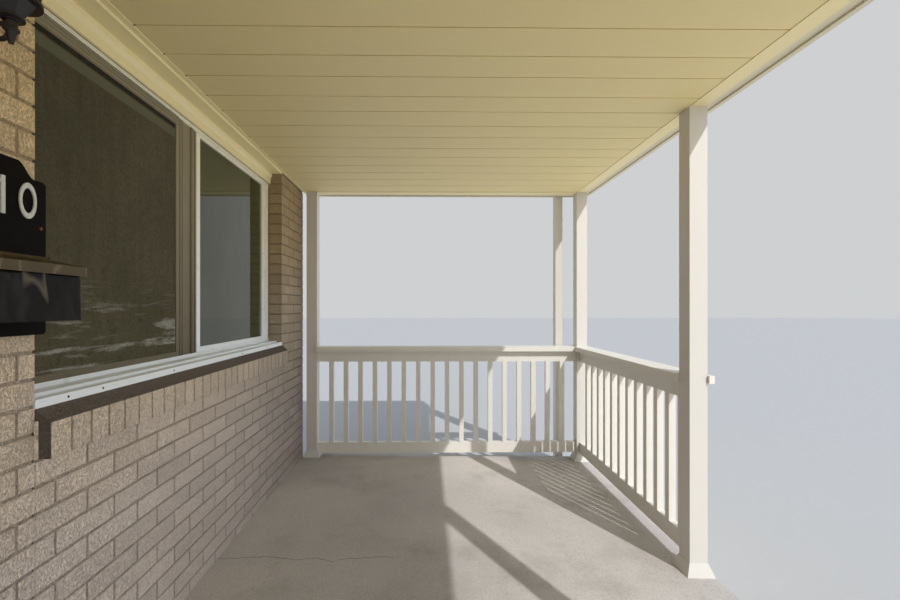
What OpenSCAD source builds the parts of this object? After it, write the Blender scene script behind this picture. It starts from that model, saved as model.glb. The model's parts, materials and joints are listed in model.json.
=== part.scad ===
/* [Porch] */
// Length of the porch slab along the house
porch_l = 4935; // [4600:1:5600]
// Depth of the slab from the brick face to its front edge
porch_d = 2474; // [2200:1:2800]
// Height of the slab above the ground where it meets the wall
slab_back_h = 150; // [120:1:250]
// Fall of the slab towards the front, in hundredths of its depth
slab_fall_percent = 2; // [0.5:0.1:2.5]
// Height of the ceiling above the slab at the wall
ceiling_h = 2268; // [2200:1:2500]

/* [Posts] */
// Width of a square post
post_w = 89; // [80:1:140]
// Distance from a post to the edge of the slab
post_margin = 28; // [25:1:60]
// Clear width of the way in between the two front posts
entry_clear = 1508; // [1200:1:1800]
// Gap between a wall post and the brick face
wall_post_gap = 33; // [30:1:60]
// Height of the flared skirt round the foot of a post
skirt_h = 60; // [40:1:100]
// How far a skirt flares out at its foot
skirt_flare = 25; // [10:1:25]
// Thickness of the metal of a skirt at its top edge
skirt_t = 2; // [1:0.5:4]

/* [Railing] */
// Height of the top of the handrail above the slab at the wall
handrail_h = 938; // [850:1:1070]
// Width of the flat handrail board
cap_w = 140; // [135:1:180]
// Thickness of the handrail board
cap_t = 38; // [25:1:45]
// How far the handrail reaches inside the posts
cap_inside = 24; // [5:1:26]
// How far the outer strip of the handrail runs on past the post at the way in
cap_end = 14; // [5:1:60]
// Height of the top and bottom rails
rail_h = 91; // [70:1:110]
// Thickness of the rails
rail_t = 38; // [30:1:50]
// Height of the underside of the bottom rail above the slab at the wall
rail_clear = 21; // [10:1:60]
// Width of a square baluster
baluster_w = 38; // [25:1:45]
// Spacing of the balusters in an end railing
end_pitch = 125; // [90:1:130]
// Gap between the corner post and the nearest baluster of an end railing
end_first_gap = 99; // [20:1:110]
// Spacing of the balusters in a front railing
bay_pitch = 120; // [90:1:125]
// Gap between the entry post and the nearest baluster of a front railing
bay_first_gap = 19; // [10:1:60]

/* [Wall] */
// Thickness of the brick skin
brick_t = 99; // [80:1:120]
// Thickness of the framed wall behind the brick
lining_t = 140; // [100:1:180]
// Distance that the wall stops short of each end of the slab
wall_short = 107; // [60:1:150]
// Width of the brick pier between the door and the window
pier_w = 440; // [400:1:600]
// Place of the window's near edge along the porch, from the middle
window_x = -185; // [-300:1:-100]
// Width of the window opening
window_w = 2003; // [1800:1:2200]
// Height of the underside of the window above the slab at the wall
window_sill_h = 999; // [900:1:1100]
// Height of the board between the top of the window and the ceiling
head_board_h = 88; // [75:1:140]
// Width of the doorway
doorway_w = 970; // [900:1:1050]

/* [Brick sill] */
// Height of the sill course of bricks on edge, at its back
sill_brick_h = 136; // [110:1:150]
// How far the sill course stands out from the wall
sill_out = 40; // [20:1:60]
// Drop of the sloped top of the sill course
sill_drop = 33; // [10:1:40]

/* [Window] */
// Width of the white window frame
frame_w = 60; // [40:1:70]
// Depth of the window frame from front to back
frame_d = 80; // [60:1:100]
// Height of the white frame seen over the sashes
frame_head_h = 19; // [15:1:50]
// Height of the ribbed white sill of the window
vinyl_sill_h = 49; // [45:1:80]
// Height of the front rib of the sill
front_rib_h = 24; // [15:1:28]
// Height of the middle rib of the sill
middle_rib_h = 34; // [29:1:42]
// Depth of the front rib of the sill
rib_depth = 40; // [20:1:60]
// Width of the upright bars of a sash
sash_w = 40; // [30:1:60]
// Height of the top bar of a sash
sash_top_h = 12; // [10:1:50]
// Height of the bottom bar of a sash
sash_bottom_h = 25; // [15:1:60]
// Depth of a sash
sash_d = 28; // [20:1:32]
// Distance from the face of the frame back to the fixed sash
fixed_set = 8; // [4:1:12]
// Distance from the near edge of the window to the line where the two sashes meet
meeting_at = 1018; // [900:1:1100]
// Thickness of the glass
glass_t = 6; // [4:1:12]
// Width of the bar of the insect screen
screen_bar_w = 22; // [15:1:35]
// Height of the top bar of the insect screen
screen_top_h = 40; // [15:1:50]
// Depth of the bar of the insect screen
screen_bar_d = 10; // [8:1:14]
// Gap between the insect screen and the sashes
screen_gap = 8; // [4:1:15]
// Thickness of the insect mesh
mesh_t = 2; // [1:0.5:3]
// Width of the ribbed middle post of the window
mullion_w = 166; // [150:1:180]
// Width of the rib along the near edge of the middle post
edge_rib_w = 36; // [15:1:60]
// Distance from the near edge of the middle post to its second rib
second_rib_at = 108; // [80:1:115]
// Width of the second rib of the middle post
second_rib_w = 24; // [10:1:30]
// How far the ribs of the middle post stand out
post_rib_d = 6; // [3:1:10]

/* [Door] */
// Width of the door frame
door_frame_w = 45; // [35:1:70]
// Thickness of the door
door_t = 44; // [35:1:50]
// Height of the threshold
threshold_h = 30; // [20:1:45]
// Distance from the back of the bricks to the face of the door
door_set = 50; // [30:1:80]
// Width of the door beside its panels
door_side_w = 110; // [90:1:150]
// Width of the door between its panels
door_middle_w = 80; // [60:1:120]
// Height of the rails of the door between and below its panels
door_rail_h = 130; // [100:1:200]
// Height of the two upper panels
door_upper_h = 360; // [250:1:450]
// Depth of the panels
door_panel_d = 8; // [4:1:15]

/* [Ceiling and beams] */
// Thickness of the ceiling boards
ceiling_t = 14; // [10:1:20]
// Length of porch covered by one pair of boards
board_pair = 330.5; // [250:0.5:400]
// Width of the wider board of a pair
wide_board = 174; // [140:1:220]
// Place of the near edge of one wide board, from the middle of the porch
board_start = 167; // [0:1:330]
// Width of the shadow groove between boards
groove_w = 6; // [3:1:10]
// Depth of the shadow groove between boards
groove_d = 5; // [2:1:8]
// Width of the trim channel at the beams
channel_w = 12; // [8:1:25]
// Width of the trim channel along the wall
wall_channel_w = 25; // [12:1:40]
// Thickness of the trim channel
channel_t = 3; // [2:1:6]
// Distance from the inner face of a post to the inner face of its beam
beam_inset = 12; // [0:1:20]
// Width of the wrapped beam over the posts
beam_w = 104; // [100:1:160]
// Height of the wrapped beam
beam_h = 200; // [180:1:260]
// Thickness of the fascia board on the outside of the beams
fascia_t = 22; // [18:1:35]
// How far the fascia board hangs below the beams
fascia_drop = 8; // [0:1:20]
// Thickness of the head board over the window and the door
head_board_t = 15; // [10:1:25]
// Height of the plain lower part of the head board
head_plain_h = 38; // [20:1:50]
// Height of the bevel over the plain part
head_bevel_h = 18; // [5:1:25]
// How far the upper part of the head board stands out past the lower part
head_step = 12; // [4:1:20]

/* [Roof] */
// Rise of the roof, in hundredths of its run
roof_rise_percent = 33.3; // [20:0.1:45]
// Thickness of the roof, with its shingles, measured straight up
roof_t = 60; // [40:1:100]
// How far the roof runs past the fascia at the eaves
eave_over = 25; // [10:1:40]
// How far the roof runs past the gable board at the front
rake_over = 20; // [10:1:60]
// Thickness of the gable wall
gable_t = 90; // [70:1:120]
// Height of the sloping gable boards
rake_h = 140; // [100:1:180]
// Thickness of the sloping gable boards
rake_t = 22; // [15:1:30]

/* [Gutters] */
// Width of a gutter at its top
gutter_w = 120; // [100:1:140]
// Height of a gutter
gutter_h = 90; // [75:1:110]
// Width of the flat bottom of a gutter
gutter_bottom_w = 74; // [60:1:95]
// Height of the flat front of a gutter
gutter_front_h = 36; // [20:1:60]
// Distance from the top of the fascia down to the top of a gutter
gutter_drop = 20; // [10:1:40]
// Thickness of the gutter metal
gutter_t = 3; // [2:0.5:5]
// Width of a downspout across its front
spout_w = 62; // [50:1:80]
// Depth of a downspout from front to back
spout_d = 76; // [60:1:90]
// Thickness of the downspout metal
spout_t = 3; // [2:0.5:5]
// Distance from the fascia to the inner side of a downspout
spout_gap = 3; // [2:1:10]
// Distance from the outer face of the corner post back to the middle of a downspout
spout_back = 199; // [100:1:400]
// Height of the shoe at the foot of a downspout
shoe_h = 70; // [50:1:120]
// How far the shoe kicks out
shoe_out = 36; // [20:1:60]

/* [Lantern] */
// Distance from the ceiling down to the bottom of the lantern
lantern_drop = 368; // [340:1:500]
// Distance from the window to the middle of the lantern
lantern_side = 238; // [150:1:260]
// Distance from the wall to the middle of the lantern
lantern_out = 160; // [130:1:220]
// Radius of the lantern cage at its lower corners
lantern_r = 54; // [45:1:75]
// How much wider the lantern cage is at its upper corners
lantern_flare = 24; // [0:1:30]
// Radius of the small end of the foot of the lantern
lantern_foot_r = 20; // [15:1:30]
// How far the round rim under the cage stands out past it
lantern_rim_out = 5; // [2:1:10]
// Thickness of the round rim
lantern_rim_t = 7; // [4:1:10]
// Height of the closed foot of the lantern
lantern_foot_h = 42; // [30:1:60]
// Height of the glazed part of the lantern
lantern_glass_h = 150; // [120:1:180]
// Height of the roof of the lantern
lantern_roof_h = 62; // [40:1:80]
// How far the lantern roof reaches past its cage
lantern_eave = 9; // [4:1:15]
// Width of a corner bar of the lantern
lantern_bar_w = 6; // [4:1:9]
// Thickness of the panes of the lantern
pane_t = 4; // [3:1:6]
// Length of the stem under the lantern
lantern_stem_h = 27; // [20:1:40]
// Radius of the stem under the lantern
lantern_stem_r = 11; // [9:1:14]
// Length of the pointed drop under the stem
lantern_drop_h = 30; // [15:1:40]
// Radius of the rod of the lantern arm
lantern_arm_r = 5; // [4:0.5:7]
// Radius of the scroll under the lantern arm
lantern_scroll_r = 17; // [15:1:20]
// Height of the wall plate
lantern_plate_h = 200; // [150:1:240]
// Width of the wall plate
lantern_plate_w = 90; // [60:1:120]
// Thickness of the wall plate
lantern_plate_t = 12; // [8:1:20]

/* [Mailbox] */
// Width of the number board
board_w = 362; // [320:1:400]
// Height of the number board
board_h = 443; // [420:1:480]
// Drop from the crown of the number board to its shoulders
board_crown_h = 38; // [20:1:60]
// Width of the curve on each side of the crown
board_curve_w = 47; // [30:1:70]
// Width of a flat shoulder of the number board
board_shoulder_w = 34; // [20:1:50]
// Size of the cut corners of the number board
board_corner = 7; // [3:1:12]
// Distance from the window to the number board
board_gap = 3; // [2:1:40]
// Thickness of the number board
board_t = 30; // [18:1:35]
// Distance from the ceiling down to the crown of the number board
board_drop = 623; // [550:1:750]
// Height of the bottom of the mailbox above the bottom of the number board
box_up = 38; // [20:1:60]
// Width of the mailbox
box_w = 340; // [300:1:380]
// Depth of the mailbox from the board to its front
box_d = 103; // [80:1:130]
// Height of the mailbox at its back
box_back_h = 162; // [150:1:220]
// Height of the mailbox at its front
box_front_h = 140; // [100:1:150]
// Thickness of the mailbox metal
box_t = 2; // [1:0.5:3]
// Radius of the hinge rod of the mailbox lid
rod_r = 3; // [2:0.5:4]
// Distance from the number board to the middle of the hinge rod
rod_out = 15; // [14:1:20]
// Gap between the hinge rod and the barrel of the lid
rod_gap = 0.2; // [0.1:0.1:0.5]
// Length of each end of the hinge rod
rod_l = 20; // [12:1:30]
// Gap between the lid and the box
lid_gap = 1; // [0.5:0.5:3]
// How far the front of the lid hangs past the box
lid_over = 15; // [5:1:20]
// Height of the lip along the front of the lid
lid_lip_h = 22; // [10:1:30]
// Height of the lips along the sides of the lid
lid_side_h = 8; // [4:1:12]

/* [Hidden] */
eps = 1;
half_l = porch_l / 2;
y_face = porch_d / 2;
y_front = -porch_d / 2;
y_brick_back = y_face + brick_t;
y_wall_back = y_brick_back + lining_t;
z_slab = slab_back_h;
z_ceiling = z_slab + ceiling_h;
z_head = z_ceiling - head_board_h;
z_beam_top = z_ceiling + beam_h;
wall_end = half_l - wall_short;

// Places of the posts
post_y0 = y_front + post_margin;
post_y1 = post_y0 + post_w;
corner_x0 = half_l - post_margin - post_w;
corner_x1 = corner_x0 + post_w;
entry_x0 = entry_clear / 2;
entry_x1 = entry_x0 + post_w;
wall_post_y1 = y_face - wall_post_gap;
wall_post_y0 = wall_post_y1 - post_w;
post_places = [[entry_x0, post_y0], [corner_x0, post_y0], [corner_x0, wall_post_y0]];

// Places of the railing
z_cap = z_slab + handrail_h - cap_t;
z_bottom_rail = z_slab + rail_clear;
z_top_rail = z_cap - rail_h;
rail_inset = (post_w - rail_t) / 2;
bay_rail_y0 = post_y0 + rail_inset;
end_rail_x0 = corner_x0 + rail_inset;
cap_y1 = post_y1 + cap_inside;
cap_y0 = cap_y1 - cap_w;
cap_x0 = corner_x0 - cap_inside;
cap_x1 = cap_x0 + cap_w;

// Places of the beams
beam_y1 = post_y1 - beam_inset;
beam_y0 = beam_y1 - beam_w;
beam_x0 = corner_x0 + beam_inset;
beam_x1 = beam_x0 + beam_w;
fascia_y0 = beam_y0 - fascia_t;
fascia_x1 = beam_x1 + fascia_t;

// Slope of the slab and of the roof
function slab_z(y) = z_slab - slab_fall_percent / 100 * (y_face - y);
slope = roof_rise_percent / 100;
roof_run = fascia_x1 + eave_over;
z_eave = z_beam_top - slope * eave_over;
function roof_z(x) = z_eave + slope * (roof_run - abs(x));

// Openings in the wall
window_x1 = window_x + window_w;
window_z0 = z_slab + window_sill_h;
doorway_x1 = window_x - pier_w;
doorway_x0 = doorway_x1 - doorway_w;

// Parts of the window
win_y0 = y_brick_back;
win_y1 = win_y0 + frame_d;
win_in_z0 = window_z0 + vinyl_sill_h;
win_in_z1 = z_head - frame_head_h;
win_in_x0 = window_x + frame_w;
win_in_x1 = window_x1 - frame_w;
mullion_x1 = window_x + meeting_at;
mullion_x0 = mullion_x1 - mullion_w;
fixed_y = win_y0 + fixed_set;
sliding_y = win_y0 + screen_bar_d + screen_gap;
glass_set = (sash_d - glass_t) / 2;
mesh_y = win_y0 + (screen_bar_d - mesh_t) / 2;

// Parts of the gutters, drawn from the fascia outwards
gutter_z1 = z_beam_top - gutter_drop;
gutter_z0 = gutter_z1 - gutter_h;
spout_x = fascia_x1 + spout_gap + spout_d / 2;
spout_y = post_y0 + spout_back;

// Parts of the lantern
lantern_x = window_x - lantern_side;
lantern_y = y_face - lantern_out;
lantern_z = z_ceiling - lantern_drop;
pane_r = lantern_r - 2 * lantern_bar_w;
cage_z0 = lantern_z + lantern_foot_h;
cage_z1 = cage_z0 + lantern_glass_h;
arm_z = lantern_z - lantern_stem_h / 2;
stem_z = lantern_z - lantern_stem_h;

// Parts of the mailbox
board_x1 = window_x - board_gap;
board_x0 = board_x1 - board_w;
board_mid = (board_x0 + board_x1) / 2;
board_z0 = z_ceiling - board_drop - board_h;
board_y0 = y_face - board_t;
box_x0 = board_mid - box_w / 2;
box_x1 = board_mid + box_w / 2;
box_y0 = board_y0 - box_d;
box_z0 = board_z0 + box_up;
box_slope = (box_back_h - box_front_h) / box_d;
rod_y = board_y0 - rod_out;
rod_z = box_z0 + box_back_h;
barrel_r = rod_r + rod_gap + box_t;
lid_x0 = box_x0 - lid_gap - box_t;
lid_x1 = box_x1 + lid_gap + box_t;

// A solid from one corner to the opposite one
module block(x0, y0, z0, x1, y1, z1) {
    translate([x0, y0, z0]) cube([x1 - x0, y1 - y0, z1 - z0]);
}

// Turn an outline drawn as depth and height into a bar along the porch
module along_x(x0, x1) {
    translate([x0, 0, 0]) rotate([90, 0, 90]) linear_extrude(x1 - x0) children();
}

// Turn an outline drawn as length and height into a bar across the porch
module along_y(y0, y1) {
    translate([0, y1, 0]) rotate([90, 0, 0]) linear_extrude(y1 - y0) children();
}

// Everything above the sloping top of the slab
module above_slab(z1) {
    along_x(-half_l, half_l) polygon([
        [y_front, slab_z(y_front)], [y_face, slab_z(y_face)], [y_face, z1], [y_front, z1]
    ]);
}

module porch_slab() {
    color("darkgray") along_x(-half_l, half_l) polygon([
        [y_front, 0], [y_face, 0], [y_face, slab_z(y_face)], [y_front, slab_z(y_front)]
    ]);
}

module brick_block(x0, x1, z1) {
    color("tan") block(x0, y_face, 0, x1, y_brick_back, z1);
}

module brick_pier_far() brick_block(window_x1, wall_end, z_ceiling);
module brick_below_window() brick_block(window_x, window_x1, window_z0 - sill_brick_h);
module brick_pier_middle() brick_block(doorway_x1, window_x, z_ceiling);
module brick_pier_near() {
    brick_block(-wall_end, doorway_x0, z_ceiling);
    brick_block(doorway_x0, doorway_x1, z_slab);
}

module brick_sill() {
    color("rosybrown") along_x(window_x, window_x1) polygon([
        [y_face - sill_out, window_z0 - sill_brick_h],
        [y_brick_back, window_z0 - sill_brick_h],
        [y_brick_back, window_z0],
        [y_face, window_z0],
        [y_face - sill_out, window_z0 - sill_drop]
    ]);
}

module framed_wall() {
    color("gainsboro") difference() {
        union() {
            block(-wall_end, y_brick_back, 0, wall_end, y_wall_back, z_ceiling);
            block(-wall_end, y_face, z_ceiling, wall_end, y_wall_back, z_beam_top);
        }
        block(window_x, y_brick_back - eps, window_z0, window_x1, y_wall_back + eps, z_head);
        block(doorway_x0, y_brick_back - eps, z_slab, doorway_x1, y_wall_back + eps, z_head);
    }
}

// A rectangular frame in the plane of the wall
module wall_frame(x0, z0, x1, z1, side, bottom, top, y0, y1) {
    difference() {
        block(x0, y0, z0, x1, y1, z1);
        block(x0 + side, y0 - eps, z0 + bottom, x1 - side, y1 + eps, z1 - top);
    }
}

module window_frame() {
    color("white") {
        wall_frame(window_x, window_z0, window_x1, z_head, frame_w, vinyl_sill_h, frame_head_h,
            win_y0, win_y1);
        block(window_x, y_face, window_z0, window_x1, win_y0 + eps, window_z0 + front_rib_h);
        block(window_x, y_face + rib_depth, window_z0, window_x1, win_y0 + eps,
            window_z0 + middle_rib_h);
    }
}

module window_mullion() {
    color("dimgray") {
        block(mullion_x0, win_y0 + post_rib_d, win_in_z0, mullion_x1, sliding_y, win_in_z1);
        for (rib = [[0, edge_rib_w], [second_rib_at, second_rib_w]])
            block(mullion_x0 + rib[0], win_y0, win_in_z0, mullion_x0 + rib[0] + rib[1], sliding_y,
                win_in_z1);
    }
}

// A sash between two places along the window
module sash(x0, x1, y) {
    color("white") wall_frame(x0, win_in_z0, x1, win_in_z1, sash_w, sash_bottom_h, sash_top_h,
        y, y + sash_d);
}

module fixed_sash() sash(mullion_x1, win_in_x1, fixed_y);
module sliding_sash() sash(win_in_x0, mullion_x1, sliding_y);

module window_glass() {
    for (pane = [[win_in_x0, mullion_x1, sliding_y], [mullion_x1, win_in_x1, fixed_y]])
        color("lightblue", 0.4) block(pane[0] + sash_w, pane[2] + glass_set,
            win_in_z0 + sash_bottom_h, pane[1] - sash_w, pane[2] + glass_set + glass_t,
            win_in_z1 - sash_top_h);
}

module screen_frame() {
    color("dimgray") wall_frame(win_in_x0, win_in_z0, mullion_x0, win_in_z1,
        screen_bar_w, screen_bar_w, screen_top_h, win_y0, win_y0 + screen_bar_d);
}

module insect_screen() {
    color("gray", 0.6) block(win_in_x0 + screen_bar_w, mesh_y, win_in_z0 + screen_bar_w,
        mullion_x0 - screen_bar_w, mesh_y + mesh_t, win_in_z1 - screen_top_h);
}

module door_frame() {
    color("ivory") difference() {
        block(doorway_x0, y_brick_back, z_slab, doorway_x1, y_wall_back, z_head);
        block(doorway_x0 + door_frame_w, y_brick_back - eps, z_slab - eps,
            doorway_x1 - door_frame_w, y_wall_back + eps, z_head - door_frame_w);
    }
}

module door_threshold() {
    color("silver") block(doorway_x0 + door_frame_w, y_brick_back, z_slab,
        doorway_x1 - door_frame_w, y_wall_back, z_slab + threshold_h);
}

module front_door() {
    x0 = doorway_x0 + door_frame_w;
    x1 = doorway_x1 - door_frame_w;
    z0 = z_slab + threshold_h;
    z1 = z_head - door_frame_w;
    y0 = y_brick_back + door_set;
    panel_w = (x1 - x0 - 2 * door_side_w - door_middle_w) / 2;
    upper_z = z1 - door_side_w - door_upper_h;
    lower_h = (upper_z - z0) / 2 - door_rail_h;
    color("darkred") difference() {
        block(x0, y0, z0, x1, y0 + door_t, z1);
        for (x = [x0 + door_side_w, x1 - door_side_w - panel_w]) {
            block(x, y0 - eps, upper_z, x + panel_w, y0 + door_panel_d, upper_z + door_upper_h);
            for (i = [1, 2])
                translate([x, y0, upper_z - i * (door_rail_h + lower_h)])
                    block(0, -eps, 0, panel_w, door_panel_d, lower_h);
        }
    }
}

module head_trim() {
    y = y_brick_back - head_board_t;
    z = z_head + head_plain_h;
    for (span = [[window_x, window_x1], [doorway_x0, doorway_x1]])
        color("cornsilk") along_x(span[0], span[1]) polygon([
            [y_brick_back, z_head], [y, z_head], [y, z], [y - head_step, z + head_bevel_h],
            [y - head_step, z_ceiling - ceiling_t], [y_face, z_ceiling - ceiling_t],
            [y_face, z_ceiling], [y_brick_back, z_ceiling]
        ]);
}

module ceiling_boards() {
    last = ceil((beam_x0 + board_start) / board_pair);
    color("wheat") difference() {
        block(-beam_x0, beam_y1, z_ceiling, beam_x0, y_face, z_ceiling + ceiling_t);
        for (pair = [-last : last], part = [0, wide_board]) {
            seam = board_start + pair * board_pair + part;
            if (abs(seam) < beam_x0 - groove_w)
                block(seam - groove_w / 2, beam_y1 - eps, z_ceiling - eps,
                    seam + groove_w / 2, y_face + eps, z_ceiling + groove_d);
        }
    }
}

// The heads of all six posts, as the shape to leave out of what runs round them
module post_holes(z0, z1) {
    for (side = [0, 1], place = post_places)
        mirror([side, 0, 0]) block(place[0], place[1], z0, place[0] + post_w, place[1] + post_w, z1);
}

module ceiling_channel() {
    color("cornsilk") difference() {
        block(-beam_x0, beam_y1, z_ceiling - channel_t, beam_x0, y_face, z_ceiling);
        block(-beam_x0 + channel_w, beam_y1 + channel_w, z_ceiling - channel_t - eps,
            beam_x0 - channel_w, y_face - wall_channel_w, z_ceiling + eps);
        post_holes(z_ceiling - channel_t - eps, z_ceiling + eps);
    }
}

module front_beam() {
    color("antiquewhite") block(-beam_x1, beam_y0, z_ceiling, beam_x1, beam_y1, z_beam_top);
}

module end_beams() {
    for (side = [0, 1])
        color("antiquewhite") mirror([side, 0, 0])
            block(beam_x0, beam_y1, z_ceiling, beam_x1, y_face, z_beam_top);
}

module fascia() {
    z0 = z_ceiling - fascia_drop;
    color("ivory") {
        block(-fascia_x1, fascia_y0, z0, fascia_x1, beam_y0, z_beam_top);
        for (side = [0, 1])
            mirror([side, 0, 0]) block(beam_x1, beam_y0, z0, fascia_x1, y_face, z_beam_top);
    }
}

// A post whose foot is cut to the fall of the slab
module post(x0, y0) {
    color("ivory") intersection() {
        block(x0, y0, 0, x0 + post_w, y0 + post_w, z_ceiling);
        above_slab(z_ceiling + eps);
    }
}

module posts() {
    for (place = post_places)
        post(place[0], place[1]);
}

module far_posts() posts();
module near_posts() mirror([1, 0, 0]) posts();

// The flared metal skirt round the foot of a post
module skirt(x0, y0) {
    xm = x0 + post_w / 2;
    ym = y0 + post_w / 2;
    foot = post_w / 2 + skirt_flare;
    top = post_w / 2 + skirt_t;
    z1 = slab_z(ym) + skirt_h;
    outline = [[-foot, slab_z(ym - foot)], [foot, slab_z(ym - foot)], [top, z1], [-top, z1]];
    difference() {
        intersection() {
            translate([0, ym, 0]) along_x(xm - foot, xm + foot) polygon(outline);
            translate([xm, 0, 0]) along_y(ym - foot, ym + foot) polygon(outline);
            above_slab(z1 + eps);
        }
        post_holes(0, z1 + eps);
        block(entry_x1, bay_rail_y0, z_bottom_rail, corner_x0, bay_rail_y0 + rail_t, z1 + eps);
        block(end_rail_x0, post_y1, z_bottom_rail, end_rail_x0 + rail_t, wall_post_y0, z1 + eps);
    }
}

module post_skirts() {
    for (side = [0, 1], place = post_places)
        color("ivory") mirror([side, 0, 0]) skirt(place[0], place[1]);
}

// One railing panel drawn along its own length, with as many balusters as its length takes
module railing_panel(length, first_gap, pitch) {
    block(0, 0, z_bottom_rail, length, rail_t, z_bottom_rail + rail_h);
    block(0, 0, z_top_rail, length, rail_t, z_cap);
    for (i = [0 : floor((length - first_gap) / pitch) - 1])
        translate([first_gap + i * pitch, (rail_t - baluster_w) / 2, 0])
            block(0, 0, z_bottom_rail + rail_h, baluster_w, baluster_w, z_top_rail);
}

module bay_railing() {
    color("ivory") translate([entry_x1, bay_rail_y0, 0])
        railing_panel(corner_x0 - entry_x1, bay_first_gap, bay_pitch);
}

module end_railing() {
    color("ivory") translate([end_rail_x0 + rail_t, post_y1, 0]) rotate([0, 0, 90])
        railing_panel(wall_post_y0 - post_y1, end_first_gap, end_pitch);
}

module far_bay_railing() bay_railing();
module near_bay_railing() mirror([1, 0, 0]) bay_railing();
module far_end_railing() end_railing();
module near_end_railing() mirror([1, 0, 0]) end_railing();

// The flat handrail: a front board and an end board that stop against the posts at both ends,
// where only a strip of each runs on along the outer side of the post
module handrail() {
    z0 = z_cap - eps;
    z1 = z_cap + cap_t + eps;
    color("white") difference() {
        union() {
            block(entry_x0 - cap_end, cap_y0, z_cap, cap_x1, cap_y1, z_cap + cap_t);
            block(cap_x0, cap_y1, z_cap, cap_x1, wall_post_y1, z_cap + cap_t);
        }
        post_holes(z0, z1);
        block(entry_x0 - cap_end - eps, post_y0, z0, entry_x1, cap_y1 + eps, z1);
        block(cap_x0 - eps, wall_post_y0, z0, corner_x1, wall_post_y1 + eps, z1);
    }
}

module far_handrail() handrail();
module near_handrail() mirror([1, 0, 0]) handrail();

// The triangle between the top of the beams and the underside of the roof
module gable(y0, y1) {
    along_y(y0, y1) polygon([
        [-fascia_x1, z_beam_top], [fascia_x1, z_beam_top], [0, roof_z(0)]
    ]);
}

module gable_wall() {
    color("cornsilk") gable(beam_y0, beam_y0 + gable_t);
}

module gable_closure() {
    color("gainsboro") gable(y_wall_back - gable_t, y_wall_back);
}

module roof_slope() {
    color("dimgray") along_y(fascia_y0 - rake_over, y_wall_back) polygon([
        [0, roof_z(0)],
        [roof_run, roof_z(roof_run)],
        [roof_run, roof_z(roof_run) + roof_t],
        [0, roof_z(0) + roof_t]
    ]);
}

module far_roof_slope() roof_slope();
module near_roof_slope() mirror([1, 0, 0]) roof_slope();

module rake_boards() {
    color("ivory") along_y(beam_y0 - rake_t, beam_y0) polygon([
        [-fascia_x1, z_beam_top],
        [-fascia_x1 + rake_h / slope, z_beam_top],
        [0, roof_z(0) - rake_h],
        [fascia_x1 - rake_h / slope, z_beam_top],
        [fascia_x1, z_beam_top],
        [0, roof_z(0)]
    ]);
}

// A gutter with an open top, folded from one sheet, with a cap at each end
module gutter() {
    x0 = fascia_x1;
    x1 = x0 + gutter_w;
    y1 = fascia_y0 + gutter_t;
    y2 = y_face - gutter_t;
    fold_z = gutter_z1 - gutter_front_h;
    outer = [
        [x0, gutter_z1], [x0, gutter_z0], [x0 + gutter_bottom_w, gutter_z0], [x1, fold_z],
        [x1, gutter_z1]
    ];
    inner = [
        [x0 + gutter_t, gutter_z1], [x0 + gutter_t, gutter_z0 + gutter_t],
        [x0 + gutter_bottom_w - gutter_t / 2, gutter_z0 + gutter_t],
        [x1 - gutter_t, fold_z + gutter_t / 2], [x1 - gutter_t, gutter_z1]
    ];
    color("ivory") {
        difference() {
            for (i = [0 : 3])
                along_y(y1, y2) polygon([outer[i], outer[i + 1], inner[i + 1], inner[i]]);
            translate([spout_x, spout_y, gutter_z0 - eps]) spout_bore(gutter_t + 2 * eps);
        }
        along_y(fascia_y0, y1) polygon(outer);
        along_y(y2, y_face) polygon(outer);
    }
}

// The inside of a downspout, standing on its own middle
module spout_bore(h) {
    block(-spout_d / 2 + spout_t, -spout_w / 2 + spout_t, 0, spout_d / 2 - spout_t,
        spout_w / 2 - spout_t, h);
}

module far_gutter() gutter();
module near_gutter() mirror([1, 0, 0]) gutter();

// A downspout from the gutter to the ground, with a shoe at its foot
module downspout() {
    r = spout_d / 2;
    translate([spout_x, spout_y, 0]) difference() {
        along_y(-spout_w / 2, spout_w / 2) polygon([
            [-r, 0], [r + shoe_out, 0], [r + shoe_out, shoe_h - shoe_out], [r, shoe_h],
            [r, gutter_z0], [-r, gutter_z0]
        ]);
        translate([0, 0, spout_t]) spout_bore(gutter_z0 + eps);
        block(0, -spout_w / 2 + spout_t, spout_t, r + shoe_out + eps, spout_w / 2 - spout_t,
            shoe_h - shoe_out - spout_t);
    }
}

module downspouts() {
    for (side = [0, 1])
        color("ivory") mirror([side, 0, 0]) downspout();
}

// A six-sided taper of the lantern, from one radius to another
module six_sides(z0, z1, r0, r1) {
    translate([lantern_x, lantern_y, z0]) cylinder(h = z1 - z0, r1 = r0, r2 = r1, $fn = 6);
}

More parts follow.
